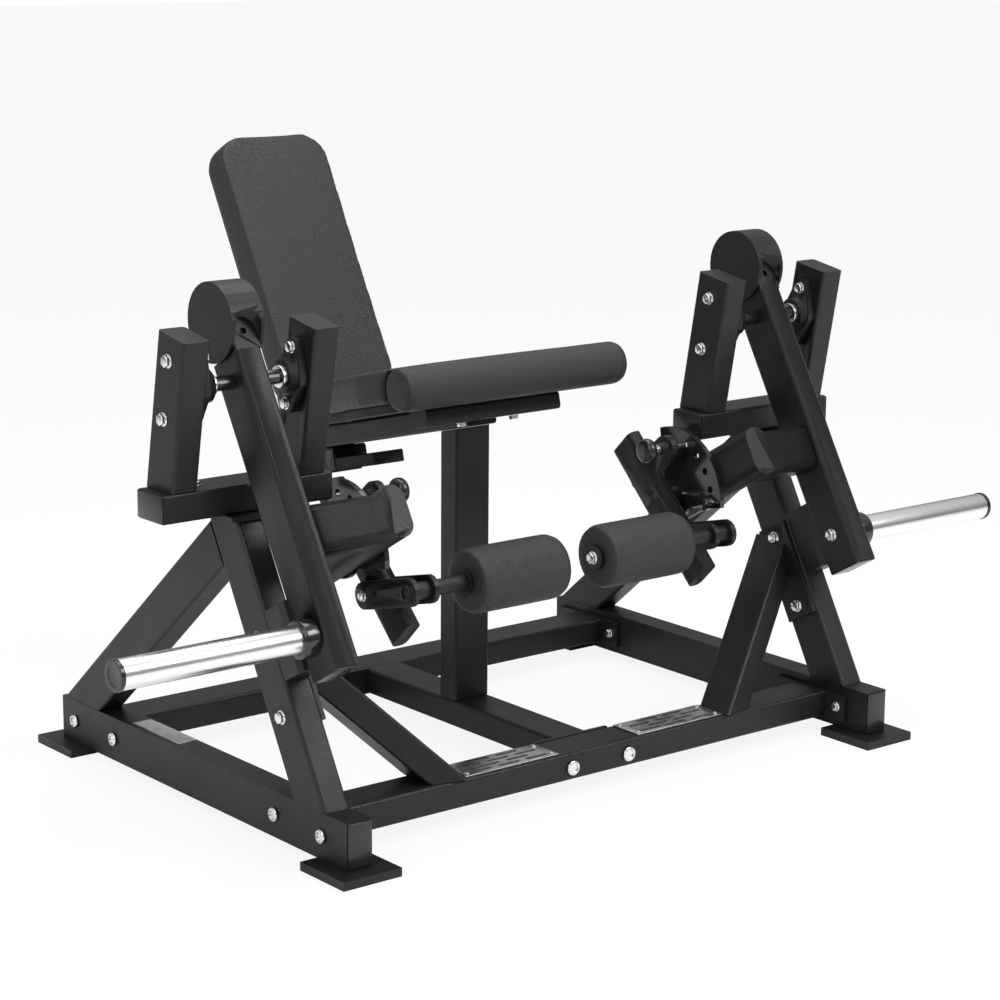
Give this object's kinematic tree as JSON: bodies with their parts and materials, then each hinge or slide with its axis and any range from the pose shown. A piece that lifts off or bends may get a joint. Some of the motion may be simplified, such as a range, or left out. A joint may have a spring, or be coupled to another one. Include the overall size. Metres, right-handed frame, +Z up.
{
  "type": "leg extension machine",
  "caption": "Plate-loaded leg extension machine: padded seat and back on a bolted box-tube frame, with separate swing arms, horns and roller pads at both sides",
  "frame": {"origin": "centre of the machine's footprint, on the floor", "axes": "+X to the sitter's left (the long way, along the weight horns), -Y the way the sitter faces, +Z up"},
  "size_m": [1.9612, 1.2212, 1.0822],
  "materials": {
    "powder_coat": "satin black powder coat with fine texture",
    "gloss_black": "glossy black",
    "vinyl": "dark charcoal grained upholstery vinyl",
    "board": "black painted plywood",
    "chrome": "polished hard chrome",
    "stainless": "bright stainless steel",
    "plastic": "black moulded plastic",
    "rubber": "matt black rubber"
  },
  "bodies": {
    "root": {"front_rail": "powder_coat", "rear_rail": "powder_coat", "spine": "powder_coat", "seat_post": "powder_coat", "seat_cross_tube": "powder_coat", "seat_beam": "powder_coat", "back_post": "powder_coat", "seat_board": "board", "seat_cushion": "vinyl", "thigh_roll": "vinyl", "back_board": "board", "back_pad": "vinyl", "left_side_rail": "powder_coat", "left_tread_plate": "stainless", "left_front_leg": "powder_coat", "left_rear_leg": "powder_coat", "left_brace": "powder_coat", "left_yoke": "powder_coat", "left_inner_upright": "powder_coat", "left_outer_upright": "powder_coat", "left_inner_bearing": "powder_coat", "left_outer_bearing": "powder_coat", "left_rest_stop": "powder_coat", "left_stop_bumper": "rubber", "right_side_rail": "powder_coat", "right_tread_plate": "stainless", "right_front_leg": "powder_coat", "right_rear_leg": "powder_coat", "right_brace": "powder_coat", "right_yoke": "powder_coat", "right_inner_upright": "powder_coat", "right_outer_upright": "powder_coat", "right_inner_bearing": "powder_coat", "right_outer_bearing": "powder_coat", "right_rest_stop": "powder_coat", "right_stop_bumper": "rubber"},
    "left_arm": {"left_pivot_shaft": "stainless", "left_swing_arm": "powder_coat", "left_counterweight": "powder_coat", "left_weight_horn": "chrome", "left_horn_cap": "plastic", "left_pad_bracket": "powder_coat", "left_index_plate": "gloss_black"},
    "left_lever": {"left_lever": "powder_coat", "left_roller_carrier": "powder_coat"},
    "left_pin": {"left_pull_pin": "plastic"},
    "left_roller": {"left_roller_pad": "vinyl"},
    "right_arm": {"right_pivot_shaft": "stainless", "right_swing_arm": "powder_coat", "right_counterweight": "powder_coat", "right_weight_horn": "chrome", "right_horn_cap": "plastic", "right_pad_bracket": "powder_coat", "right_index_plate": "gloss_black"},
    "right_lever": {"right_lever": "powder_coat", "right_roller_carrier": "powder_coat"},
    "right_pin": {"right_pull_pin": "plastic"},
    "right_roller": {"right_roller_pad": "vinyl"}
  },
  "joints": [
    {"name": "left_arm_swing", "type": "hinge", "parent": "root", "child": "left_arm", "pos_m": [0.59, -0.2496, 0.763], "axis": [-1, 0, 0], "range_deg": [0, 95]},
    {"name": "left_lever_tilt", "type": "hinge", "parent": "left_arm", "child": "left_lever", "pos_m": [0.3665, -0.23411, 0.43973], "axis": [-1, 0, 0], "range_deg": [-58.5, 19.5]},
    {"name": "left_pin_pull", "type": "slide", "parent": "left_lever", "child": "left_pin", "axis": [-1, 0, 0], "range_m": [0, 0.012], "stiffness_N_per_m": 900},
    {"name": "left_roller_spin", "type": "hinge", "parent": "left_lever", "child": "left_roller", "pos_m": [0.1465, -0.39711, 0.39973], "axis": [-1, 0, 0], "continuous": true},
    {"name": "right_arm_swing", "type": "hinge", "parent": "root", "child": "right_arm", "pos_m": [-0.59, -0.2496, 0.763], "axis": [-1, 0, 0], "range_deg": [0, 95]},
    {"name": "right_lever_tilt", "type": "hinge", "parent": "right_arm", "child": "right_lever", "pos_m": [-0.3665, -0.23411, 0.43973], "axis": [-1, 0, 0], "range_deg": [-58.5, 19.5]},
    {"name": "right_pin_pull", "type": "slide", "parent": "right_lever", "child": "right_pin", "axis": [1, 0, 0], "range_m": [0, 0.012], "stiffness_N_per_m": 900},
    {"name": "right_roller_spin", "type": "hinge", "parent": "right_lever", "child": "right_roller", "pos_m": [-0.1465, -0.39711, 0.39973], "axis": [-1, 0, 0], "continuous": true}
  ]
}
